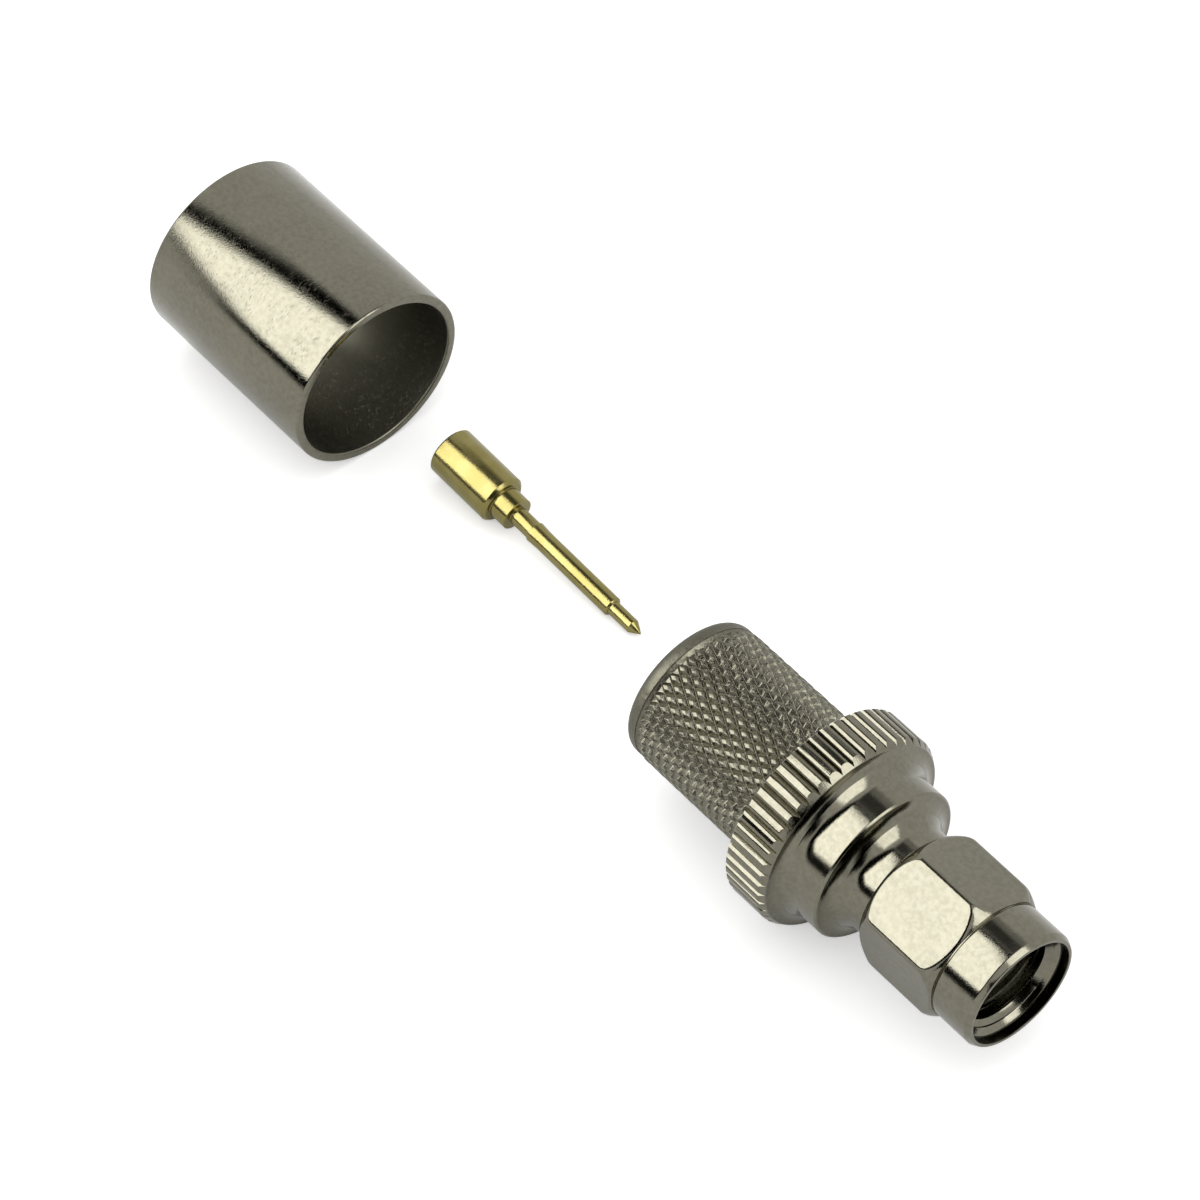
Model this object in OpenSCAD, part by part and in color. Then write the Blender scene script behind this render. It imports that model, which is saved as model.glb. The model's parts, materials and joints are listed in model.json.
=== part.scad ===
// SMA plug for thick low-loss coaxial cable, in kit form: crimp ferrule, loose centre contact and connector.
// +X runs along the connector's axis towards its nut, +Z is up, and everything lies on Z = 0.

/* [Crimp ferrule] */
// Outside diameter of the ferrule
ferrule_od = 12.2; // [11.6:0.1:13]
// Wall thickness of the ferrule
ferrule_wall = 0.6; // [0.4:0.05:0.9]
// Length of the ferrule
ferrule_len = 14.4; // [11:0.2:19]
// Radius of the ferrule's rounded edges
ferrule_round = 0.15; // [0.05:0.01:0.19]

/* [Knurled stem] */
// Outside diameter of the stem under the braid
stem_od = 9.4; // [9:0.1:10]
// Length of the stem from its rear end to the flange
stem_len = 11; // [8:0.1:14]
// Diameter of the bore for the cable's dielectric
cable_bore_d = 7.3; // [6.6:0.05:7.8]
// Radius of the stem's rounded rear edge
stem_round = 0.7; // [0.3:0.05:0.75]
// Length of the smooth band behind the knurl
stem_band = 1; // [0.9:0.05:1.5]
// Number of knurl grooves of each hand
knurl_starts = 42; // [30:1:48]
// Angle of the knurl grooves to the axis
knurl_angle = 30; // [25:1:40]
// Depth of the knurl from crest to groove
knurl_depth = 0.3; // [0.2:0.02:0.36]
// Height of the knurl's crests above the smooth band
knurl_rise = 0.05; // [0:0.01:0.1]
// Share of a diamond's width that its flat top takes
knurl_flat = 0.4; // [0.2:0.05:0.6]

/* [Ribbed flange] */
// Outside diameter over the ribs
flange_od = 13.3; // [12.8:0.1:15]
// Width of the flange
flange_len = 3.1; // [2.6:0.1:5]
// Number of straight ribs
rib_count = 48; // [36:1:60]
// Depth of the grooves between the ribs
rib_depth = 0.28; // [0.2:0.02:0.44]
// Width of a groove at its mouth
rib_gap = 0.36; // [0.26:0.02:0.46]
// Front chamfer of the flange, along the axis
flange_chamfer = 0.45; // [0.3:0.05:0.8]
// Front chamfer of the flange, across the radius
flange_bevel = 0.3; // [0.2:0.05:0.5]

/* [Stepped neck] */
// Diameter of the large step
step_od = 10.26; // [9.6:0.02:10.6]
// Length of the large step, cove included
step_len = 2.75; // [2.2:0.05:3.6]
// Chamfer on the large step's front edge
step_chamfer = 0.12; // [0.06:0.02:0.2]
// Diameter of the neck behind the nut
neck_od = 7.2; // [6.8:0.1:7.6]
// Length of the neck, cove included
neck_len = 2.15; // [1.8:0.05:2.6]

/* [Mating end] */
// Diameter of the land that the nut turns on
land_od = 5.4; // [5.2:0.05:5.5]
// Length of the land from the neck to the gasket seat
land_len = 2.4; // [2.2:0.05:2.8]
// Diameter of the snout that enters the jack
snout_od = 4.56; // [4.5:0.01:4.6]
// Length of the snout in front of the gasket seat
snout_len = 2.7; // [2.3:0.05:3.2]
// Diameter of the insulator at the snout
insulator_d = 4.12; // [4:0.02:4.16]
// Diameter of the insulator's rear shoulder
insulator_shoulder_d = 5; // [4.6:0.1:5.6]
// Length of the insulator's rear shoulder
insulator_shoulder_len = 2.1; // [1.6:0.1:2.6]
// Clearance round the contact's shaft in the insulator
contact_clearance = 0.03; // [0.01:0.01:0.06]

/* [Coupling nut] */
// Width across the flats of the nut
nut_af = 8; // [7.8:0.05:8.4]
// Overall length of the nut
nut_len = 8.85; // [8.6:0.05:10.4]
// Length of the hexagon
hex_len = 5.85; // [5:0.05:6.5]
// Angle of the chamfers at the hexagon's ends, from the end planes
hex_chamfer = 38; // [28:1:45]
// Diameter of the round front of the nut
nut_front_od = 7.9; // [7.75:0.05:8]
// Front chamfer of the nut, along the axis
nut_chamfer = 0.35; // [0.2:0.05:0.5]
// Front chamfer of the nut, across the radius
nut_bevel = 0.18; // [0.1:0.02:0.24]
// Diameter of the plain mouth in front of the thread
mouth_d = 7.1; // [7:0.05:7.15]
// Depth of the plain mouth
mouth_len = 0.6; // [0.4:0.05:0.8]
// Major diameter of the coupling thread
thread_d = 6.35; // [6.2:0.01:6.45]
// Length of the threaded wall
thread_len = 2.9; // [2.3:0.1:2.9]
// Diameter of the relief behind the thread
relief_d = 6.8; // [6.7:0.05:6.9]
// Thickness of the nut's rear lip
lip_len = 1; // [0.8:0.05:1.2]
// Chamfer at the thread's start
thread_chamfer = 0.3; // [0.15:0.05:0.3]
// Angle that the nut is turned to about the axis
nut_turn = 5.5; // [-30:0.5:30]
// Radial running clearance between nut and land
nut_clearance = 0.08; // [0.04:0.01:0.1]
// Gap along the axis between nut and neck
nut_float = 0.2; // [0.1:0.05:0.3]

/* [Retaining ring and gasket] */
// Outside diameter of the sprung retaining ring
ring_od = 5.96; // [5.9:0.02:6.1]
// Radial thickness of the retaining ring
ring_wall = 0.48; // [0.4:0.02:0.55]
// Thickness of the retaining ring along the axis
ring_len = 0.7; // [0.5:0.05:0.8]
// Opening between the ends of the retaining ring
ring_gap = 1.2; // [0.8:0.1:2]
// Outside diameter of the gasket
gasket_od = 5.44; // [5.3:0.02:5.5]
// Thickness of the gasket
gasket_len = 0.9; // [0.7:0.05:1]

/* [Centre contact] */
// Outside diameter of the conductor cup
cup_od = 3.22; // [3.16:0.02:3.6]
// Length of the conductor cup
cup_len = 4.9; // [4.2:0.1:6]
// Diameter of the cup's bore
cup_bore_d = 2.8; // [2.6:0.02:2.86]
// Depth of the cup's bore
cup_bore_len = 3.9; // [3:0.1:4]
// Diameter of the collar in front of the cup
collar_d = 2.18; // [2:0.02:2.5]
// Length of the collar
collar_len = 1.25; // [0.9:0.05:1.5]
// Diameter of the shaft
shaft_d = 1.27; // [1.2:0.01:1.34]
// Distance from the cup to the front end of the shaft
shaft_len = 9.9; // [8.8:0.05:10.4]
// Diameter of the retaining barb on the shaft
barb_d = 1.42; // [1.36:0.01:1.46]
// Distance from the cup to the barb's sharp side
barb_start = 2.84; // [2.2:0.02:3.4]
// Length of the barb's ramp
barb_len = 0.84; // [0.5:0.02:1.2]
// Diameter of the mating pin
pin_d = 0.91; // [0.88:0.01:0.94]
// Length of the mating pin's straight part
pin_len = 1.7; // [1.2:0.01:2]
// Length of the pin's conical tip
tip_len = 0.72; // [0.5:0.02:1]

/* [Layout] */
// Gap between the ferrule and the stem
ferrule_gap = 29.6; // [27:0.1:36]
// Distance of the ferrule's axis to the side of the connector's axis
ferrule_side = 1.2; // [0:0.1:2]
// Gap between the contact's tip and the stem, along the axis
contact_gap = 8.1; // [7:0.1:10]
// Distance of the contact's tip to the side of the connector's axis
contact_side = 3.6; // [2:0.1:6]
// Angle between the contact and the connector's axis, seen from above
contact_yaw = 1.5; // [0:0.5:12]

/* [Hidden] */

NICKEL = [0.62, 0.61, 0.57];
GOLD = [0.83, 0.68, 0.34];
PTFE = [0.93, 0.93, 0.9];
SILICONE = [0.75, 0.36, 0.22];
BRONZE = [0.72, 0.52, 0.33];

// Reach of a cutting tool past the surface that it starts from
over = 0.5;

// Distances along the connector's axis, from the flange's front face
flange_back = -flange_len;
stem_back = flange_back - stem_len;
neck_front = step_len + neck_len;
nut_back = neck_front + nut_float;
nut_front = nut_back + nut_len;
hex_front = nut_back + hex_len;
lip_front = nut_back + lip_len;
mouth_back = nut_front - mouth_len;
thread_front = mouth_back - thread_chamfer;
gasket_seat = neck_front + land_len;
snout_front = gasket_seat + snout_len;
ring_float = 0.04;
ring_back = lip_front + ring_float;
groove_len = ring_len + 2 * ring_float;

// With the cup against the insulator's back, the shaft ends level with the snout
insulator_back = snout_front - shaft_len;
shoulder_front = insulator_back + insulator_shoulder_len;
collar_clearance = 0.06;

// Radial gap under the ring, which lets it close as the nut is pushed on
ring_closing = 0.15;
groove_d = ring_od - 2 * (ring_wall + ring_closing);

// Each cove runs from a front edge to the next smaller cylinder, and stops short of that cylinder's end
cove_margin = 0.4;
edge_r = flange_od / 2 - flange_bevel;
step_cove = min(edge_r - step_od / 2, step_len - cove_margin);
neck_cove = min(step_od / 2 - step_chamfer - neck_od / 2, neck_len - cove_margin);

// The whole set is centred on the origin in X and Y
total_len = ferrule_len + ferrule_gap + stem_len + flange_len + nut_front;
ferrule_x = -total_len / 2;
flange_x = total_len / 2 - nut_front;
tip_x = flange_x + stem_back - contact_gap;
axis_y = -(max(flange_od / 2, ferrule_side + ferrule_od / 2)
           + min(-flange_od / 2, ferrule_side - ferrule_od / 2)) / 2;

// The knurl is a grid of rings of points. Point k of ring j is the middle of a diamond where k + j is
// even, and a crossing of two grooves elsewhere
knurl_len = stem_len - stem_band;
knurl_back = stem_back + stem_band;
crest_r = stem_od / 2 + knurl_rise;
groove_r = crest_r - knurl_depth;
knurl_cell = PI * stem_od / knurl_starts;
knurl_rows = round(2 * knurl_len * tan(knurl_angle) / knurl_cell);
ring_points = 2 * knurl_starts;
// Each end of the knurled bar runs this far into the metal beside it
knurl_root = 0.2;

// The contact lies on its cup's front edge and on whichever edge of shaft or pin it tips down to
cup_chamfer = 0.2;
small_chamfer = 0.1;
tip_r = 0.06;
cup_edge = cup_len - cup_chamfer;
shaft_end = cup_len + shaft_len;
pin_end = shaft_end + pin_len;
contact_len = pin_end + tip_len;
contact_tilt = atan(min((cup_od - shaft_d) / 2 / (shaft_end - small_chamfer - cup_edge),
                        (cup_od - pin_d) / 2 / (pin_end - cup_edge)));
tip_height = cup_od / 2 * cos(contact_tilt) - (contact_len - cup_edge) * sin(contact_tilt);

// Turns an outline of [radius, distance] about the X axis
module turned() rotate([0, 90, 0]) rotate_extrude($fn = 128) children();

// A round bar or cutter along X
module bar(x0, x1, d) translate([x0, 0, 0]) rotate([0, 90, 0]) cylinder(h = x1 - x0, d = d, $fn = 96);

// A cone along X
module taper(x0, x1, d0, d1)
    translate([x0, 0, 0]) rotate([0, 90, 0]) cylinder(h = x1 - x0, d1 = d0, d2 = d1, $fn = 96);

// Outline of a tube wall with rounded edges
module rounded_wall(len, r_in, r_out, edge) {
    translate([r_in + edge, 0]) square([r_out - r_in - 2 * edge, len]);
    translate([r_in, edge]) square([r_out - r_in, len - 2 * edge]);
    for (r = [r_in + edge, r_out - edge], x = [edge, len - edge]) translate([r, x]) circle(edge, $fn = 32);
}

// Outline of the fillet between a face at x and a cylinder of radius r in front of it
module cove(x, r, size) difference() {
    translate([r - size, x - size]) square(2 * size);
    translate([r + size, x + size]) circle(size, $fn = 64);
}

function ring_x(j) = j < 0 ? knurl_back - knurl_root
                   : j > knurl_rows ? flange_back + knurl_root
                   : knurl_back + j * knurl_len / knurl_rows;
function knurl_point(k, j, r) = let (a = k * 180 / knurl_starts) [ring_x(j), r * sin(a), -r * cos(a)];
function grid_id(k, j) = (j + 1) * ring_points + k % ring_points;

// The diamonds at the knurl's two ends run out, so they have no flat top
function has_top(k, j) = j > 0 && j < knurl_rows && (k + j) % 2 == 0;
// Corners of a flat top: 0 points round the stem, 1 to the flange, and 2 and 3 the opposite ways
TOP_CORNERS = [[1, 0], [0, 1], [-1, 0], [0, -1]];
function top_id(k, j, corner) =
    (knurl_rows + 3) * ring_points + 4 * ((j - 1) * knurl_starts + floor((k % ring_points) / 2)) + corner;

// One side of the diamond round point k, j, between the groove crossings that its corners from and to face
function flank(k, j, from, to) =
    let (p = grid_id(k + TOP_CORNERS[from][0] + ring_points, j + TOP_CORNERS[from][1]),
         q = grid_id(k + TOP_CORNERS[to][0] + ring_points, j + TOP_CORNERS[to][1]))
    has_top(k, j) ? [[top_id(k, j, from), p, q], [top_id(k, j, from), q, top_id(k, j, to)]]
                  : [[grid_id(k, j), p, q]];

// Bar with diamonds all round, each of them four flanks that rise to a flat top
module knurled_bar() {
    columns = [0 : ring_points - 1];
    grid = [for (j = [-1 : knurl_rows + 1], k = columns) knurl_point(k, j, groove_r)];
    tops = [for (j = [1 : knurl_rows - 1], k = columns) if (has_top(k, j)) for (c = TOP_CORNERS)
        knurl_point(k + c[0] * knurl_flat, j + c[1] * knurl_flat, crest_r)];
    flanks = [for (j = [-1 : knurl_rows], k = columns) each
        (k + j + ring_points) % 2 == 0 ? concat(flank(k, j, 1, 0), flank(k + 1, j + 1, 3, 2))
                                       : concat(flank(k + 1, j, 2, 1), flank(k, j + 1, 0, 3))];
    flats = [for (j = [1 : knurl_rows - 1], k = columns) if (has_top(k, j))
        [for (corner = [1, 0, 3, 2]) top_id(k, j, corner)]];
    ends = [[for (k = columns) grid_id(k, -1)],
            [for (k = columns) grid_id(ring_points - 1 - k, knurl_rows + 1)]];
    polyhedron(concat(grid, tops), concat(flanks, flats, ends), convexity = 4);
}

module on_connector_axis() translate([flange_x, axis_y, flange_od / 2]) children();

module crimp_ferrule() color(NICKEL)
    translate([ferrule_x, axis_y + ferrule_side, ferrule_od / 2])
        turned() rounded_wall(ferrule_len, ferrule_od / 2 - ferrule_wall, ferrule_od / 2, ferrule_round);

// Outline of the connector's body without its bores
module body_outline() {
    translate([0, stem_back + stem_round]) square([stem_od / 2, stem_band - stem_round]);
    translate([0, stem_back]) square([stem_od / 2 - stem_round, stem_band]);
    translate([stem_od / 2 - stem_round, stem_back + stem_round]) circle(stem_round, $fn = 32);
    polygon([[0, flange_back], [flange_od / 2 - small_chamfer, flange_back],
             [flange_od / 2, flange_back + small_chamfer], [flange_od / 2, -flange_chamfer],
             [edge_r, 0], [0, 0]]);
    polygon([[0, -over], [step_od / 2, -over], [step_od / 2, step_len - step_chamfer],
             [step_od / 2 - step_chamfer, step_len], [0, step_len]]);
    cove(0, step_od / 2, step_cove);
    translate([0, 0]) square([neck_od / 2, neck_front]);
    cove(step_len, neck_od / 2, neck_cove);
    translate([0, 0]) square([land_od / 2, gasket_seat]);
    polygon([[0, 0], [snout_od / 2, 0], [snout_od / 2, snout_front - small_chamfer / 2],
             [snout_od / 2 - small_chamfer / 2, snout_front], [0, snout_front]]);
}

// V-shaped grooves that leave the flange's ribs
module flange_grooves()
    translate([flange_back - over, 0, 0]) rotate([0, 90, 0]) linear_extrude(height = flange_len + over)
        for (i = [0 : rib_count - 1]) rotate((i + 0.5) * 360 / rib_count)
            translate([flange_od / 2, 0])
                polygon([[-rib_depth, 0], [0, -rib_gap / 2], [over, -rib_gap / 2],
                         [over, rib_gap / 2], [0, rib_gap / 2]]);

module connector_body() color(NICKEL) on_connector_axis() difference() {
    union() {
        turned() body_outline();
        knurled_bar();
    }
    flange_grooves();
    bar(stem_back - over, insulator_back, cable_bore_d);
    taper(stem_back - small_chamfer, stem_back + 2 * small_chamfer,
          cable_bore_d + 6 * small_chamfer, cable_bore_d);
    bar(insulator_back - over, shoulder_front, insulator_shoulder_d);
    bar(shoulder_front - over, snout_front + over, insulator_d);
    difference() {
        bar(lip_front, lip_front + groove_len, land_od + over);
        bar(lip_front - over, lip_front + groove_len + over, groove_d);
    }
}

module insulator() color(PTFE) on_connector_axis() difference() {
    union() {
        bar(insulator_back, shoulder_front, insulator_shoulder_d);
        bar(insulator_back, snout_front, insulator_d);
    }
    bar(insulator_back - over, snout_front + over, shaft_d + 2 * contact_clearance);
    bar(insulator_back - over, insulator_back + collar_len + collar_clearance,
        collar_d + 2 * collar_clearance);
}

module gasket() color(SILICONE) on_connector_axis() difference() {
    bar(gasket_seat, gasket_seat + gasket_len, gasket_od);
    bar(gasket_seat - over, gasket_seat + gasket_len + over, snout_od);
}

module retaining_ring() color(BRONZE) on_connector_axis() difference() {
    bar(ring_back, ring_back + ring_len, ring_od);
    bar(ring_back - over, ring_back + ring_len + over, ring_od - 2 * ring_wall);
    translate([ring_back - over, -ring_gap / 2, 0]) cube([ring_len + 2 * over, ring_gap, ring_od]);
}

// Envelope that chamfers both ends of the hexagon
module nut_envelope() {
    corner_r = nut_af / 2 / cos(30);
    rise = (corner_r - nut_af / 2) * tan(hex_chamfer);
    polygon([[0, nut_back], [nut_af / 2, nut_back], [corner_r, nut_back + rise],
             [corner_r, hex_front - rise], [nut_af / 2, hex_front], [0, hex_front]]);
    polygon([[0, nut_back], [nut_front_od / 2, nut_back + over],
             [nut_front_od / 2, nut_front - nut_chamfer],
             [nut_front_od / 2 - nut_bevel, nut_front], [0, nut_front]]);
}

module coupling_nut() color(NICKEL) on_connector_axis() rotate([nut_turn, 0, 0]) difference() {
    intersection() {
        turned() nut_envelope();
        union() {
            translate([nut_back, 0, 0]) rotate([0, 90, 0])
                cylinder(h = hex_len, d = nut_af / cos(30), $fn = 6);
            bar(nut_back + over, nut_front, nut_front_od);
        }
    }
    bar(nut_back - over, nut_front, land_od + 2 * nut_clearance);
    bar(lip_front, thread_front - thread_len, relief_d);
    bar(lip_front, mouth_back + over, thread_d);
    taper(thread_front, mouth_back, thread_d, thread_d + 2 * thread_chamfer);
    bar(mouth_back, nut_front + over, mouth_d);
}

// Outline of the contact without the cup's bore, from the cup's mouth at 0 to the tip
module contact_outline() {
    collar_end = cup_len + collar_len;
    barb_x = cup_len + barb_start;
    polygon([[0, 0], [cup_od / 2 - small_chamfer, 0], [cup_od / 2, small_chamfer],
             [cup_od / 2, cup_edge], [cup_od / 2 - cup_chamfer, cup_len],
             [collar_d / 2, cup_len], [collar_d / 2, collar_end - small_chamfer],
             [collar_d / 2 - small_chamfer, collar_end], [shaft_d / 2, collar_end],
             [shaft_d / 2, barb_x], [barb_d / 2, barb_x], [shaft_d / 2, barb_x + barb_len],
             [shaft_d / 2, shaft_end - small_chamfer], [shaft_d / 2 - small_chamfer, shaft_end],
             [pin_d / 2, shaft_end], [pin_d / 2, pin_end], [tip_r, contact_len], [0, contact_len]]);
}

module centre_contact() color(GOLD)
    translate([tip_x, axis_y + contact_side, tip_height]) rotate([0, contact_tilt, contact_yaw])
        translate([-contact_len, 0, 0]) difference() {
            turned() contact_outline();
            bar(-over, cup_bore_len, cup_bore_d);
        }

crimp_ferrule();
centre_contact();
connector_body();
insulator();
gasket();
retaining_ring();
coupling_nut();
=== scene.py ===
"""Looks of a crimp plug in kit form: ferrule, loose gold contact and the connector with its coupling nut.

Everything is in metres in the CAD's own frame: X runs along the connector's axis towards its nut, Z is up.
Sizes below are in millimetres, and distances along the connector are from its flange's front face.
"""

import json
from math import atan2, cos, hypot, pi, radians, sin, tan

import bpy
from mathutils import Matrix, Vector

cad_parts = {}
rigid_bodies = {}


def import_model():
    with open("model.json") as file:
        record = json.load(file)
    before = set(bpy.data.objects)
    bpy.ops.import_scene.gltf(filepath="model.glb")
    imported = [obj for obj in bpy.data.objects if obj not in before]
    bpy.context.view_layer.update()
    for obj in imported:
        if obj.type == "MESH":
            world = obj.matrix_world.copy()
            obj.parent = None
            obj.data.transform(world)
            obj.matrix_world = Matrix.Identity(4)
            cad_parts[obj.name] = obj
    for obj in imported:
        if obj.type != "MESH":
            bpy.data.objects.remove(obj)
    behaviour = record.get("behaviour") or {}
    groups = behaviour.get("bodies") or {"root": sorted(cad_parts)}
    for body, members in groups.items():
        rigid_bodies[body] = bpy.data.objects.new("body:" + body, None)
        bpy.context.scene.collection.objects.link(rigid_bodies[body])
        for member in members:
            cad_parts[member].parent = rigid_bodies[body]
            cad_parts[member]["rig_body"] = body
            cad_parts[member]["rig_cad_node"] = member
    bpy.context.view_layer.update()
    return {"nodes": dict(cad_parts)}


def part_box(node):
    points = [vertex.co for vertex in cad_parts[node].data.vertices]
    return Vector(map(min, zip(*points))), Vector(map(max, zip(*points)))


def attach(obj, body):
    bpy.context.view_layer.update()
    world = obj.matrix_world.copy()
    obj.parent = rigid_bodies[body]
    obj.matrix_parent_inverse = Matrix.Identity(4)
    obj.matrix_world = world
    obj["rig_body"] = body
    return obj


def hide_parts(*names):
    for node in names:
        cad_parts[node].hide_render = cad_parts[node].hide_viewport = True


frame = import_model()

MM = 0.001

# Where the connector lies
NUT_FRONT = 13.95
FLANGE_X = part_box("coupling_nut")[1].x / MM - NUT_FRONT
AXIS_Y, AXIS_Z = [sum(corner[i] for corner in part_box("connector_body")) / 2 / MM for i in (1, 2)]
FERRULE_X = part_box("crimp_ferrule")[0].x / MM
FERRULE_Y, FERRULE_Z = [sum(corner[i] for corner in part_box("crimp_ferrule")) / 2 / MM for i in (1, 2)]


# ---------------------------------------------------------------- camera, floor and light

def basis(x, y, z):
    """Rotation whose local axes are x, y and z."""
    return Matrix((x, y, z)).transposed().to_4x4()


def add_camera():
    azimuth, elevation, distance = radians(49.74), radians(51.43), 320
    target = Vector((-0.832, 0.731, 5.0))
    back = Vector((sin(azimuth) * cos(elevation), -cos(azimuth) * cos(elevation), sin(elevation)))
    right = Vector((cos(azimuth), sin(azimuth), 0))
    data = bpy.data.cameras.new("camera")
    data.lens, data.sensor_width = 165.27, 36
    data.clip_start, data.clip_end = 0.02, 20
    camera = bpy.data.objects.new("camera", data)
    bpy.context.scene.collection.objects.link(camera)
    place = Matrix.Translation((target + back * distance) * MM)
    camera.matrix_world = place @ basis(right, back.cross(right), back)
    bpy.context.scene.camera = camera


def face_object(centre, along):
    """Axes of a flat thing at centre that looks at the object, with its length along a direction."""
    out = Vector(centre).normalized()
    length = Vector(along)
    length = (length - out * length.dot(out)).normalized()
    return length, out.cross(length), out


def soft_lamp(name, centre, length, width, brightness):
    """A large soft lamp for the paper and plastics."""
    x, y, z = face_object(centre, (1, 0, 0))
    data = bpy.data.lights.new(name, "AREA")
    data.shape, data.size, data.size_y = "RECTANGLE", length * MM, width * MM
    data.energy = brightness * pi * length * width * MM * MM
    lamp = bpy.data.objects.new(name, data)
    bpy.context.scene.collection.objects.link(lamp)
    lamp.matrix_world = Matrix.Translation(Vector(centre) * MM) @ basis(x, y, z)
    lamp.visible_camera = lamp.visible_glossy = False


def card(name, centre, along, corners, brightness):
    """A bright or black card that only reflections show, with corners at distances along and across it."""
    x, y, z = face_object(centre, along)
    alone()
    bpy.ops.mesh.primitive_circle_add(vertices=len(corners), fill_type="NGON")
    sheet = bpy.context.object
    sheet.name = name
    for vertex, (a, b) in zip(sheet.data.vertices, corners):
        vertex.co = Vector((a, b, 0)) * MM
    sheet.matrix_world = Matrix.Translation(Vector(centre) * MM) @ basis(x, y, z)
    sheet.visible_camera = sheet.visible_diffuse = sheet.visible_shadow = False
    sheet.data.materials.append(Finish(name, Base_Color=(0, 0, 0, 1), Roughness=1.0, Specular_IOR_Level=0.0,
                                       Emission_Color=(1, 1, 1, 1), Emission_Strength=brightness).material)


# ---------------------------------------------------------------- materials

class Signal:
    """A socket of a material. Sums written on it become Math nodes."""

    def __init__(self, finish, socket):
        self.finish, self.socket = finish, socket

    def maths(self, operation, *values):
        return self.finish.node("ShaderNodeMath", {"operation": operation}, *values)

    def __add__(self, other):
        return self.maths("ADD", self, other)

    def __sub__(self, other):
        return self.maths("SUBTRACT", self, other)

    def __rsub__(self, other):
        return self.maths("SUBTRACT", other, self)

    def __mul__(self, other):
        return self.maths("MULTIPLY", self, other)

    def __pow__(self, other):
        return self.maths("POWER", self, other)

    __radd__, __rmul__ = __add__, __mul__

    def over(self, low, high):
        """0 below low, 1 above high and a smooth step between them."""
        return self.finish.node("ShaderNodeMapRange", {"interpolation_type": "SMOOTHSTEP"}, self, low, high)

    def output(self, name):
        return Signal(self.finish, self.socket.node.outputs[name])


class Finish:
    """A material made from a Principled shader and whatever feeds it."""

    def __init__(self, name, **constants):
        self.material = bpy.data.materials.new(name)
        self.material.use_nodes = True
        self.tree = self.material.node_tree
        self.shader = next(n for n in self.tree.nodes if n.type == "BSDF_PRINCIPLED")
        for key, value in constants.items():
            self.shader.inputs[key.replace("_", " ")].default_value = value

    def node(self, kind, settings=None, *values, **named):
        made = self.tree.nodes.new(kind)
        for key, value in (settings or {}).items():
            setattr(made, key, value)
        sockets = list(enumerate(values)) + [(k.replace("_", " "), v) for k, v in named.items()]
        for key, value in sockets:
            if isinstance(value, Signal):
                self.tree.links.new(value.socket, made.inputs[key])
            else:
                made.inputs[key].default_value = value
        return Signal(self, next(o for o in made.outputs if o.enabled))

    def feed(self, **signals):
        for key, signal in signals.items():
            self.tree.links.new(signal.socket, self.shader.inputs[key.replace("_", " ")])
        return self.material

    def place(self):
        """Object coordinates in millimetres."""
        where = self.node("ShaderNodeTexCoord").output("Object")
        return self.node("ShaderNodeVectorMath", {"operation": "SCALE"}, where, Scale=1 / MM)

    def round_place(self, centre_y, centre_z):
        """Distance along X, distance round an axis along X, and radius, in millimetres."""
        parts = self.node("ShaderNodeSeparateXYZ", None, self.place())
        y, z = parts.output("Y") - centre_y, parts.output("Z") - centre_z
        radius = (y * y + z * z) ** 0.5
        return parts.output("X"), parts.maths("ARCTAN2", y, z), radius

    def vector(self, x, y, z=0.0):
        return self.node("ShaderNodeCombineXYZ", None, x, y, z)

    def noise(self, where, scale, detail=2.0, roughness=0.5):
        return self.node("ShaderNodeTexNoise", Vector=where, Scale=scale, Detail=detail, Roughness=roughness)

    def blend(self, amount, first, second):
        """Colour between first and second."""
        made = self.node("ShaderNodeMix", {"data_type": "RGBA"})
        mix = made.socket.node
        self.tree.links.new(amount.socket, mix.inputs["Factor"])
        for socket, value in zip([i for i in mix.inputs if i.type == "RGBA"], (first, second)):
            if isinstance(value, Signal):
                self.tree.links.new(value.socket, socket)
            else:
                socket.default_value = (*value, 1)
        return Signal(self, next(o for o in mix.outputs if o.type == "RGBA"))

    def bump(self, height, distance):
        return self.node("ShaderNodeBump", None, Strength=1.0, Distance=distance * MM, Height=height)


NICKEL = (0.200, 0.192, 0.150)
NICKEL_DARK = (0.165, 0.157, 0.118)
NICKEL_WARM = (0.216, 0.203, 0.152)


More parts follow.
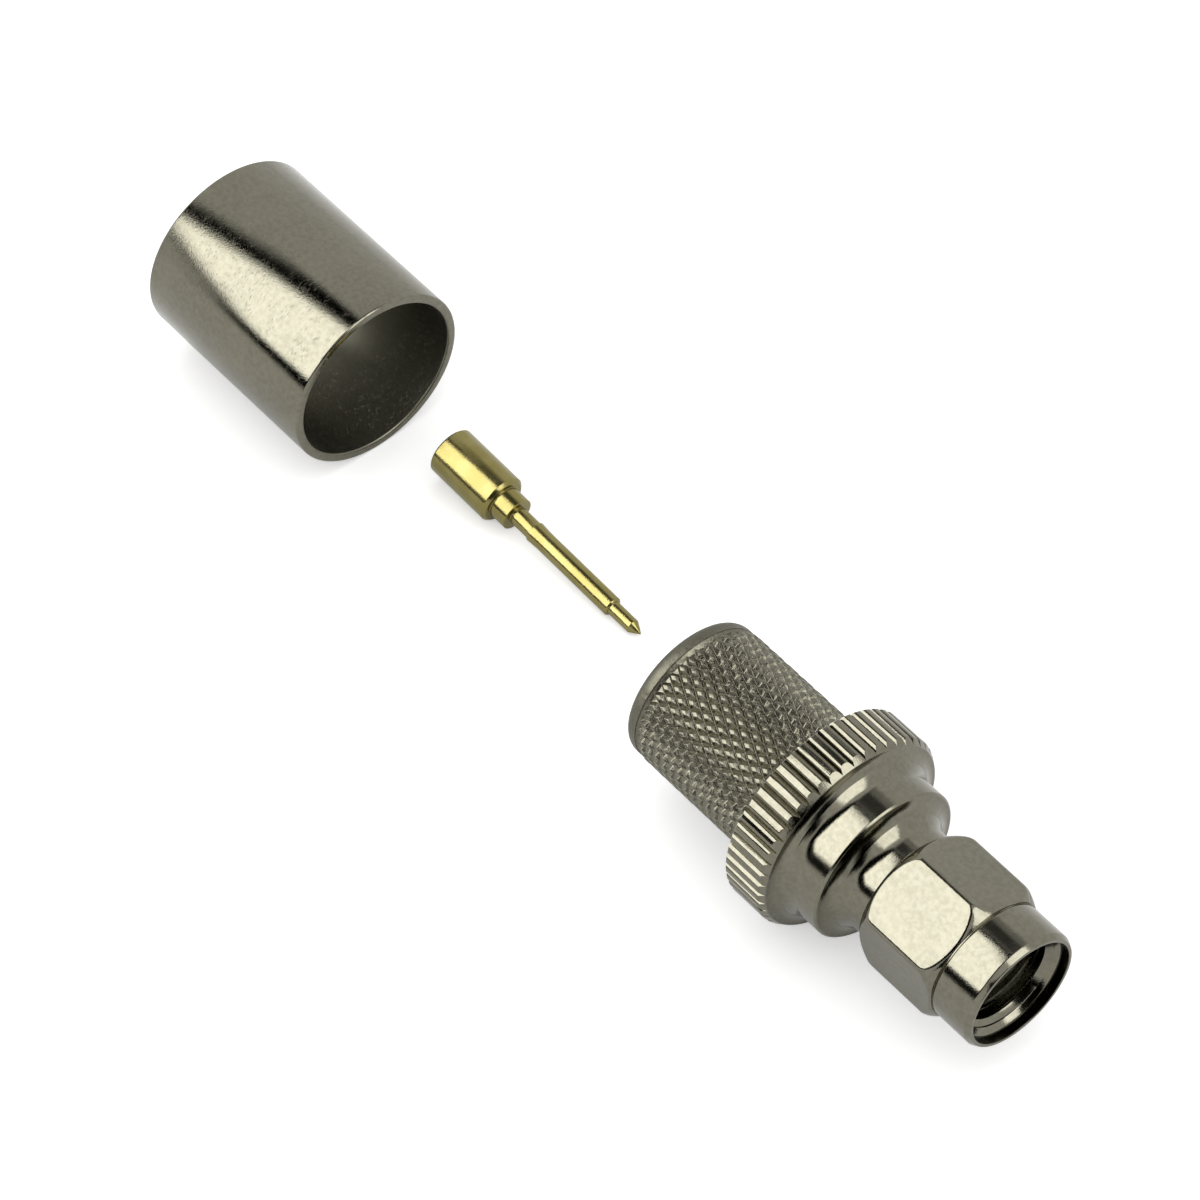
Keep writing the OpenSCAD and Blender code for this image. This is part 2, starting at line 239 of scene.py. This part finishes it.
def nickel(name, rough, grain, rings=0.0, dashes=0.0, bore=0.0, bore_from=0.0, bore_shade_tint=1.0, bore_rough=0.3,
           centre=(AXIS_Y, AXIS_Z)):
    """Bright nickel plate. grain is the depth of its fine skin, rings that of turning lines.

    Between the radii bore_from and bore the plate is rougher, and its colour is multiplied by the bore's
    shade factor: painted shade inside the bore.
    """
    f = Finish(name, Metallic=1.0)
    place = f.place()
    along, turn, radius = f.round_place(*centre)
    skin = f.noise(place, 10.0, 3.0, 0.65)
    mottle = f.noise(place, 3.2, 3.0, 0.6)
    cloud = f.noise(place, 0.45, 2.0, 0.5)
    tint = f.blend(mottle.over(0.3, 0.7), NICKEL_DARK, NICKEL)
    tint = f.blend(cloud.over(0.4, 0.7) * 0.3, tint, NICKEL_WARM)
    rough_now = rough + (mottle - 0.5) * 0.05 + (skin - 0.5) * 0.08
    height = skin * grain
    if rings:
        lines = f.noise(f.vector(along, radius, 0.0), 16.0, 2.0, 0.6)
        height = height + lines * rings
    if dashes:
        cells = f.node("ShaderNodeTexVoronoi", {"voronoi_dimensions": "2D"},
                       Vector=f.vector(along * 3.1, turn * 5.4), Scale=1.0)
        far = f.node("ShaderNodeTexVoronoi", {"voronoi_dimensions": "2D"},
                     Vector=f.vector(along * 11.0, turn * 6.6), Scale=1.0, Randomness=1.0)
        mark = (1 - far.over(0.05, 0.13)) * cells.output("Color").over(0.55, 0.6)
        height = height - mark * dashes
        rough_now = rough_now + mark * 0.1
    if bore:
        # Painted shade: between bore_from and bore the colour is darkened as if shade fell in the bore; the
        # extra roughness there is real.
        inside = (1 - radius.over(bore - 0.02, bore + 0.02)) * radius.over(bore_from - 0.02, bore_from + 0.02)
        tint = f.blend(inside, tint, tuple(c * bore_shade_tint for c in NICKEL))
        rough_now = rough_now + inside * bore_rough
        height = height * (1 - inside * 0.8)
    f.feed(Base_Color=tint, Roughness=rough_now, Normal=f.bump(height, 1.0))
    return f.material


def knurled_nickel(name):
    """Nickel over a rolled knurl: matt and uneven, most of all on its round rear edge, whose colour is also
    painted darker as shade.
    """
    f = Finish(name, Metallic=1.0)
    place = f.place()
    along = f.round_place(AXIS_Y, AXIS_Z)[0]
    skin = f.noise(place, 8.0, 4.0, 0.7)
    dents = f.noise(place, 2.6, 2.0, 0.5)
    rear = 1 - along.over(FLANGE_X - 13.6, FLANGE_X - 12.6)
    tint = f.blend(skin.over(0.35, 0.65), (0.130, 0.124, 0.092), (0.190, 0.182, 0.140))
    # Painted shade: the round rear edge's colour is darkened; its extra roughness below is real.
    tint = f.blend(rear * 0.6, tint, (0.105, 0.100, 0.076))
    f.feed(Base_Color=tint, Roughness=0.21 + (dents - 0.5) * 0.25 + rear * 0.3,
           Normal=f.bump(skin * 0.014 + dents * 0.04, 1.0))
    return f.material


def gold(name):
    f = Finish(name, Metallic=1.0)
    place = f.place()
    skin = f.noise(place, 10.0, 2.0, 0.6)
    cloud = f.noise(place, 0.9, 2.0, 0.5)
    tint = f.blend(cloud.over(0.35, 0.7), (0.232, 0.199, 0.070), (0.266, 0.233, 0.092))
    f.feed(Base_Color=tint, Roughness=0.18 + (cloud - 0.5) * 0.08 + (skin - 0.5) * 0.08,
           Normal=f.bump(skin, 0.006))
    return f.material


def ptfe(name):
    f = Finish(name, Subsurface_Weight=0.15, Subsurface_Radius=(0.6 * MM, 0.6 * MM, 0.6 * MM),
               Specular_IOR_Level=0.4)
    cloud = f.noise(f.place(), 1.4, 3.0, 0.5)
    tint = f.blend(cloud.over(0.3, 0.7), (0.74, 0.74, 0.70), (0.80, 0.80, 0.77))
    f.feed(Base_Color=tint, Roughness=0.38 + cloud * 0.12, Normal=f.bump(cloud, 0.01))
    return f.material


def silicone(name):
    f = Finish(name, Specular_IOR_Level=0.5)
    cloud = f.noise(f.place(), 3.0, 3.0, 0.5)
    tint = f.blend(cloud.over(0.3, 0.7), (0.42, 0.115, 0.05), (0.52, 0.16, 0.075))
    f.feed(Base_Color=tint, Roughness=0.42 + cloud * 0.15, Normal=f.bump(cloud, 0.01))
    return f.material


def bronze(name):
    f = Finish(name, Metallic=1.0)
    cloud = f.noise(f.place(), 2.5, 3.0, 0.6)
    tint = f.blend(cloud.over(0.3, 0.7), (0.34, 0.19, 0.085), (0.46, 0.28, 0.13))
    f.feed(Base_Color=tint, Roughness=0.22 + cloud * 0.15, Normal=f.bump(cloud, 0.006))
    return f.material


# ---------------------------------------------------------------- modelling

def alone(obj=None):
    """Leaves edit mode with only obj selected."""
    if bpy.context.object and bpy.context.object.mode != "OBJECT":
        bpy.ops.object.mode_set(mode="OBJECT")
    bpy.ops.object.select_all(action="DESELECT")
    if obj:
        obj.select_set(True)
        bpy.context.view_layer.objects.active = obj
    return obj


def lathe(name, outline, steps, close=True):
    """Turns an outline of (distance, radius) points about the connector's axis at the origin."""
    alone()
    bpy.ops.mesh.primitive_plane_add(size=0.001)
    obj = bpy.context.object
    obj.name = obj.data.name = name
    bpy.ops.object.mode_set(mode="EDIT")
    bpy.ops.mesh.select_mode(type="VERT")
    bpy.ops.mesh.merge(type="CENTER")
    points = [Vector((x, 0, r)) * MM for x, r in outline]
    bpy.ops.transform.translate(value=points[0])
    for before, after in zip(points, points[1:]):
        bpy.ops.mesh.extrude_region_move(TRANSFORM_OT_translate={"value": after - before})
    bpy.ops.mesh.select_all(action="SELECT")
    if close:
        bpy.ops.mesh.select_all(action="DESELECT")
        bpy.ops.object.mode_set(mode="OBJECT")
        obj.data.vertices[0].select = obj.data.vertices[-1].select = True
        bpy.ops.object.mode_set(mode="EDIT")
        bpy.ops.mesh.edge_face_add()
        bpy.ops.mesh.select_all(action="SELECT")
    bpy.ops.mesh.spin(steps=steps, angle=2 * pi, center=(0, 0, 0), axis=(1, 0, 0))
    bpy.ops.mesh.select_all(action="SELECT")
    bpy.ops.mesh.remove_doubles(threshold=1e-7)
    bpy.ops.mesh.normals_make_consistent(inside=False)
    bpy.ops.object.mode_set(mode="OBJECT")
    return obj


def modify(obj, kind, **settings):
    """Adds a modifier and applies it."""
    alone(obj)
    made = obj.modifiers.new(kind.lower(), kind)
    for key, value in settings.items():
        setattr(made, key, value)
    bpy.ops.object.modifier_apply(modifier=made.name)
    return obj


def ease(obj, width, angle, segments):
    """Rounds a piece's edges and smooths it between them."""
    modify(obj, "BEVEL", width=width * MM, segments=segments, limit_method="ANGLE",
           angle_limit=radians(angle), use_clamp_overlap=False)
    return turned_finish(obj)


def smooth(obj, angle=32):
    """Smooth shading, except across edges sharper than angle."""
    alone(obj)
    bpy.ops.object.shade_smooth_by_angle(angle=radians(angle))
    return obj


def settle(obj, matrix):
    """Puts a piece in its place and leaves the place in its mesh."""
    alone(obj)
    obj.matrix_world = matrix
    bpy.ops.object.transform_apply(location=True, rotation=True, scale=True)
    return obj


def on_connector_axis(obj):
    return settle(obj, Matrix.Translation(Vector((FLANGE_X, AXIS_Y, AXIS_Z)) * MM))


def cut(obj, cutter):
    """Cuts the cutter's shape out of a piece and uses the cutter up."""
    modify(obj, "BOOLEAN", object=cutter, operation="DIFFERENCE", solver="EXACT")
    bpy.data.objects.remove(cutter)
    bpy.ops.object.mode_set(mode="EDIT")
    bpy.ops.mesh.select_all(action="SELECT")
    bpy.ops.mesh.remove_doubles(threshold=0.004 * MM)
    bpy.ops.mesh.dissolve_degenerate(threshold=0.001 * MM)
    bpy.ops.object.mode_set(mode="OBJECT")
    return obj


def arc(x, r, size, start, end, steps):
    """Points on an arc about (x, r), with angles in degrees from the direction of the axis."""
    turns = [radians(start + (end - start) * i / steps) for i in range(steps + 1)]
    return [(x + size * cos(a), r + size * sin(a)) for a in turns]


def soften(outline, size, steps=4):
    """Rounds the corners of a closed outline, except those on the axis."""
    points = [Vector(p) for p in outline]
    rounded = []
    for before, corner, after in zip(points[-1:] + points, points, points[1:] + points[:1]):
        back, ahead = before - corner, after - corner
        if corner.y < 1e-6 or back.angle(-ahead) < radians(18):
            rounded.append(tuple(corner))
            continue
        start = corner + back.normalized() * min(size, 0.45 * back.length)
        end = corner + ahead.normalized() * min(size, 0.45 * ahead.length)
        for i in range(steps + 1):
            rounded.append(tuple(start.lerp(corner, i / steps).lerp(corner.lerp(end, i / steps), i / steps)))
    return rounded


def turned_finish(obj, angle=32):
    """Smooth shading that keeps flat faces flat."""
    smooth(obj, angle)
    return modify(obj, "WEIGHTED_NORMAL", keep_sharp=True)


def finish_piece(obj, body, slot, material, *nodes):
    """Gives a piece its material and the body it rides on, and hides the CAD nodes it stands for; slot is not
    used.
    """
    obj.data.materials.clear()
    obj.data.materials.append(material)
    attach(obj, body)
    if nodes:
        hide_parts(*nodes)
    return obj


def ferrule():
    outer, inner, length, edge = 6.1, 5.5, 14.4, 0.15
    outline = []
    for x, r, start in ((edge, inner + edge, 270), (edge, outer - edge, 180),
                        (length - edge, outer - edge, 90), (length - edge, inner + edge, 0)):
        outline += arc(x, r, edge, start, start - 90, 5)
    tube = smooth(lathe("ferrule_tube", outline, 192), 40)
    return settle(tube, Matrix.Translation(Vector((FERRULE_X, FERRULE_Y, FERRULE_Z)) * MM))


RIBS = 48


def rib_cutters():
    """Long prisms with hollow flanks where the grooves between the flange's round ribs go."""
    radius, length, middle = 6.65, 4.1, -1.55
    flank = [(0.05, -0.2), (0.12, -0.095), (0.19, -0.042), (0.27, -0.014), (0.34, -0.002), (0.41, 0.02)]
    corners = [(0, -0.28)] + flank + [(0.41, 0.3), (-0.41, 0.3)] + [(-t, r) for t, r in reversed(flank)]
    alone()
    bpy.ops.mesh.primitive_cylinder_add(vertices=len(corners), radius=1 * MM, depth=length * MM,
                                        location=(middle * MM, 0, 0), rotation=(0, pi / 2, 0))
    tool = bpy.context.object
    settle(tool, tool.matrix_world)
    ends = [sorted((v for v in tool.data.vertices if (v.co.x > middle * MM) == front),
                   key=lambda v: atan2(v.co.y, v.co.z)) for front in (False, True)]
    for end in ends:
        for vertex, (t, r) in zip(end, corners):
            vertex.co.y, vertex.co.z = t * MM, (radius + r) * MM
    bpy.ops.object.mode_set(mode="EDIT")
    bpy.ops.mesh.select_all(action="SELECT")
    bpy.ops.mesh.normals_make_consistent(inside=False)
    bpy.ops.mesh.spin(steps=RIBS, dupli=True, angle=2 * pi, center=(0, 0, 0), axis=(1, 0, 0))
    bpy.ops.mesh.select_all(action="SELECT")
    bpy.ops.mesh.remove_doubles(threshold=1e-7)
    bpy.ops.object.mode_set(mode="OBJECT")
    return tool


def cove(x, r, size):
    """A quarter hollow between a face and a smaller cylinder, with the tool's fine ring in it."""
    line = arc(x, r, size, 180, 270, 16)
    for i, deeper in ((7, 0.0), (8, 0.018), (9, 0.0)):
        turn = radians(180 + 90 * i / 16)
        line[i] = (x + (size + deeper) * cos(turn), r + (size + deeper) * sin(turn))
    return line


def flange_and_neck():
    outline = [(-3.1, 3.65), (-3.1, 6.55), (-3.0, 6.65), (-0.45, 6.65)]
    outline += cove(1.22, 6.35, 1.22) + [(2.63, 5.13)] + cove(4.16, 5.01, 1.41)
    land_and_snout = [(4.9, 3.6), (4.9, 2.7), (6.1, 2.7), (6.1, 2.35), (6.88, 2.35), (6.88, 2.7), (7.3, 2.7),
                      (7.3, 2.28), (9.95, 2.28), (10.0, 2.23)]
    bore = [(10.0, 2.06), (2.2, 2.06), (2.2, 2.5), (0.1, 2.5), (0.1, 3.65)]
    outline += land_and_snout + bore
    turned = lathe("flange_and_neck", soften(outline, 0.04), 240)
    cut(turned, rib_cutters())
    return on_connector_axis(turned_finish(turned))


def knurled_stem():
    """The knurl is the CAD's own, cut off at the flange, with its edges eased."""
    source = frame["nodes"]["connector_body"]
    stem = source.copy()
    stem.data = source.data.copy()
    stem.name = stem.data.name = "knurled_stem"
    stem.parent = None
    stem.hide_render = stem.hide_viewport = False
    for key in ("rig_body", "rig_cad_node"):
        if key in stem:
            del stem[key]
    bpy.context.scene.collection.objects.link(stem)
    alone(stem)
    bpy.ops.object.mode_set(mode="EDIT")
    bpy.ops.mesh.select_all(action="SELECT")
    bpy.ops.mesh.remove_doubles(threshold=1e-7)
    bpy.ops.mesh.bisect(plane_co=((FLANGE_X - 3.12) * MM, 0, 0), plane_no=(1, 0, 0), clear_outer=True,
                        threshold=1e-7)
    bpy.ops.mesh.select_all(action="DESELECT")
    bpy.ops.mesh.select_mode(type="EDGE")
    bpy.ops.mesh.select_non_manifold()
    bpy.ops.mesh.bridge_edge_loops()
    bpy.ops.mesh.select_all(action="SELECT")
    bpy.ops.mesh.dissolve_limited(angle_limit=radians(0.5))
    bpy.ops.mesh.select_mode(type="VERT")
    bpy.ops.object.mode_set(mode="OBJECT")
    return ease(stem, 0.03, 20, 2)


def blend_radii(a, b, size):
    """The smaller of two radii, with the edge where they meet rounded."""
    return min(a, b) - max(size - abs(a - b), 0) ** 2 / (4 * size)


def hexagon(turn, distance):
    """Radius of the worn hexagon at an angle from one of its corners and a distance from its nearer end."""
    flat = 4.0
    off = abs(turn % (pi / 3) - pi / 6)
    sides = blend_radii(flat / cos(off), flat / cos(pi / 3 - off), 0.3)
    worn = 0.28 + 0.5 * (off / (pi / 6)) ** 4
    return blend_radii(sides, flat + 0.035 + distance / tan(radians(38)), worn)


def coupling_nut():
    """A turned blank whose rear part is drawn in to the hexagon."""
    back, hex_front, front, blank = 5.1, 10.95, 13.95, 4.3
    rings = 80
    outline = [(back + (hex_front - back) * i / rings, blank) for i in range(rings + 1)]
    round_front = [(hex_front, 3.9), (hex_front + 0.1, 3.9), (hex_front + 0.16, 3.95), (front - 0.35, 3.95),
                   (front, 3.77)]
    bore = [(front, 3.55), (front - 0.6, 3.55), (front - 0.6, 3.475), (front - 0.9, 3.175), (10.15, 3.175),
            (10.15, 3.4), (6.1, 3.4), (6.1, 2.78), (back, 2.78)]
    outline += soften(round_front + bore, 0.05)
    nut = lathe("coupling_nut_shell", outline, 360)
    for vertex in nut.data.vertices:
        x, y, z = vertex.co / MM
        if hypot(y, z) > 4.1:
            radius = hexagon(atan2(y, z), min(x - back, hex_front - x))
            vertex.co.y, vertex.co.z = y * radius / blank * MM, z * radius / blank * MM
    turned_finish(nut)
    settle(nut, Matrix.Rotation(radians(5.5), 4, "X"))
    return on_connector_axis(nut)


def thread():
    """Ridge of the coupling thread, with its ends run out at the mouth and at the relief."""
    pitch, major, minor, first, last = 0.7056, 3.2, 2.83, 9.9, 13.3
    half_root, half_crest = 0.31, 0.09
    alone()
    bpy.ops.mesh.primitive_plane_add(size=0.001)
    ridge = bpy.context.object
    ridge.name = ridge.data.name = "coupling_thread_ridge"
    corners = [(-half_root, major), (-half_crest, minor), (half_crest, minor), (half_root, major)]
    for vertex, (x, r) in zip([ridge.data.vertices[i] for i in (0, 1, 3, 2)], corners):
        vertex.co = Vector((first + half_root + x, 0, r)) * MM
    turns = (last - first) / pitch
    steps = round(96 * turns)
    modify(ridge, "SCREW", axis="X", angle=2 * pi * turns, screw_offset=pitch * turns * MM, steps=steps,
           render_steps=steps, use_merge_vertices=False)
    bpy.ops.object.mode_set(mode="EDIT")
    bpy.ops.mesh.select_mode(type="EDGE")
    bpy.ops.mesh.select_all(action="DESELECT")
    bpy.ops.mesh.select_non_manifold()
    bpy.ops.mesh.fill_holes(sides=0)
    bpy.ops.mesh.select_all(action="SELECT")
    bpy.ops.mesh.normals_make_consistent(inside=False)
    bpy.ops.mesh.select_mode(type="VERT")
    bpy.ops.object.mode_set(mode="OBJECT")
    mouth_cone = [(12.2, 2.325), (13.4, 3.525), (14.2, 3.525), (14.2, 2.0), (12.2, 2.0)]
    relief = [(8.0, 2.0), (8.0, 3.6), (10.16, 3.6), (10.16, 2.0)]
    cut(ridge, lathe("mouth_room", mouth_cone, 96))
    cut(ridge, lathe("relief_room", relief, 96))
    smooth(ridge, 40)
    return on_connector_axis(ridge)


def contact():
    """Cup, collar, barbed shaft and pin in one, resting on the cup's front edge and the shaft's end."""
    cup, cup_len, bore, bore_len = 1.61, 4.9, 1.4, 3.9
    collar, collar_len, shaft, shaft_len, pin_radius = 1.09, 1.25, 0.635, 9.9, 0.455
    neck, barb_radius, barb_len = 0.6, 0.685, 0.84
    edge, cup_edge = 0.1, 0.2
    barb = cup_len + 2.84
    shaft_end = cup_len + shaft_len
    pin_end = shaft_end + 1.7
    tip = pin_end + 0.72
    cup_outline = [(bore_len, 0.0), (bore_len, bore), (0.0, bore), (0.0, cup - edge), (edge, cup),
                   (cup_len - cup_edge, cup), (cup_len, cup - cup_edge)]
    collar_outline = [(cup_len, collar), (cup_len + collar_len, collar), (cup_len + collar_len, neck)]
    shaft_outline = [(barb, neck), (barb, barb_radius), (barb + barb_len, shaft), (shaft_end - edge, shaft),
                     (shaft_end, shaft - edge)]
    pin_outline = [(shaft_end, pin_radius), (pin_end, pin_radius), (tip - 0.05, 0.06), (tip, 0.0)]
    outline = soften(cup_outline + collar_outline + shaft_outline + pin_outline, 0.03)
    piece = turned_finish(lathe("contact_pin_and_cup", outline, 96, close=False), 22)
    yaw, tilt, end = radians(1.5), radians(5.568737), Vector((-0.125, 3.275, 0.387463))
    turn = Matrix.Rotation(yaw, 4, "Z") @ Matrix.Rotation(tilt, 4, "Y")
    return settle(piece, Matrix.Translation(end * MM) @ turn @ Matrix.Translation((-tip * MM, 0, 0)))


def insulator():
    outline = [(0.1, 0.665), (0.1, 2.5), (2.2, 2.5), (2.2, 2.06), (10.0, 2.06), (10.0, 0.665)]
    return on_connector_axis(turned_finish(lathe("insulator_bead", soften(outline, 0.05), 96)))


def build():
    # The ferrule's bore is painted a little darker, as shade.
    silky = nickel("nickel_satin", 0.075, 0.005, dashes=0.03, bore=5.56, bore_shade_tint=0.9,
                   centre=(FERRULE_Y, FERRULE_Z))
    turned = nickel("nickel_turned", 0.11, 0.004, rings=0.003)
    # The nut's bore is painted much darker, as shade in its mouth.
    plated = nickel("nickel_nut", 0.11, 0.004, bore=3.57, bore_from=3.49, bore_shade_tint=0.2, bore_rough=0.06)
    rolled = knurled_nickel("nickel_knurled")
    finish_piece(ferrule(), "set", "nickel", silky, "crimp_ferrule")
    finish_piece(flange_and_neck(), "set", "nickel", turned, "connector_body")
    finish_piece(knurled_stem(), "set", "nickel", rolled, "connector_body")
    finish_piece(coupling_nut(), "nut", "nickel", plated, "coupling_nut")
    finish_piece(thread(), "nut", "nickel", nickel("nickel_thread", 0.12, 0.004))
    finish_piece(contact(), "set", "gold", gold("gold_plate"), "centre_contact")
    finish_piece(insulator(), "set", "ptfe", ptfe("ptfe_white"), "insulator")
    for node, material in (("gasket", silicone("silicone_red")), ("retaining_ring", bronze("spring_bronze"))):
        mesh = frame["nodes"][node].data
        mesh.materials.clear()
        mesh.materials.append(material)


def add_floor():
    f = Finish("floor_paper", Roughness=1.0, Specular_IOR_Level=0.0, Emission_Strength=0.35)
    cloud = f.noise(f.place(), 0.02)
    f.feed(Base_Color=f.blend(cloud, (0.93, 0.93, 0.93), (0.94, 0.94, 0.94)))
    seen = f.node("ShaderNodeLightPath").output("Is Camera Ray")
    f.feed(Emission_Color=f.blend(seen, (0, 0, 0), (1, 1, 1)))
    alone()
    bpy.ops.mesh.primitive_plane_add(size=6)
    floor = bpy.context.object
    floor.name = "floor"
    floor.data.materials.append(f.material)


def add_world():
    """White wherever camera or metal looks, and a softer fill for everything else."""
    world = bpy.data.worlds.new("studio")
    bpy.context.scene.world = world
    world.use_nodes = True
    tree = world.node_tree
    sky = next(n for n in tree.nodes if n.type == "BACKGROUND")
    path = tree.nodes.new("ShaderNodeLightPath")
    sky.inputs["Color"].default_value = (1, 1, 1, 1)
    last = path.outputs["Is Camera Ray"]
    for name in ("Is Glossy Ray", "Is Transmission Ray"):
        both = tree.nodes.new("ShaderNodeMath")
        both.operation = "MAXIMUM"
        tree.links.new(last, both.inputs[0])
        tree.links.new(path.outputs[name], both.inputs[1])
        last = both.outputs[0]
    level = tree.nodes.new("ShaderNodeMapRange")
    level.inputs["To Min"].default_value = 0.88
    tree.links.new(last, level.inputs["Value"])
    tree.links.new(level.outputs[0], sky.inputs["Strength"])
    world.cycles.sampling_method = "NONE"


def add_studio():
    """Floor, world, lamp and cards. Their corners are set for how metal reflects in the main view."""
    add_world()
    add_floor()
    along = (0.765, 0.434, 0.472)
    window = [(-119, -56), (-40, -108), (70, -165), (145, 118), (20, 74), (-20, 60), (-68, 48), (-94, -8)]
    frame_edge = [(-205, -96), (-115, -160), (0, -270), (155, -345), (270, -210), (240, 155), (175, 195),
                  (62, 164), (20, 125), (-62, 80), (-132, -34)]
    card("window", (-95, -118, 132), along, window, 4.6)
    card("window_frame", (-100, -124, 139), along, frame_edge, 0.0)
    card("rear_flag", (-43, 75, 160), (1, 0, 0), [(-30, -50), (24, -50), (24, 6), (-30, 14)], 0.1)
    card("rear_flag_soft", (-45, 78, 168), (1, 0, 0), [(-44, -62), (40, -62), (40, 44), (-44, 50)], 0.5)
    card("front_window", (118, 40, 150), (0.78, 0.1, -0.63), [(-75, -55), (125, -55), (125, 55), (-75, 55)],
         4.0)
    card("front_frame", (184, -61, 51), (0.3, 0.95, 0), [(-90, -75), (90, -75), (90, 75), (-90, 75)], 0.0)
    soft_lamp("top_lamp", (-60, -70, 300), 500, 500, 0.55)


bpy.context.scene.view_settings.view_transform = "Standard"
alone()
build()
add_camera()
add_studio()
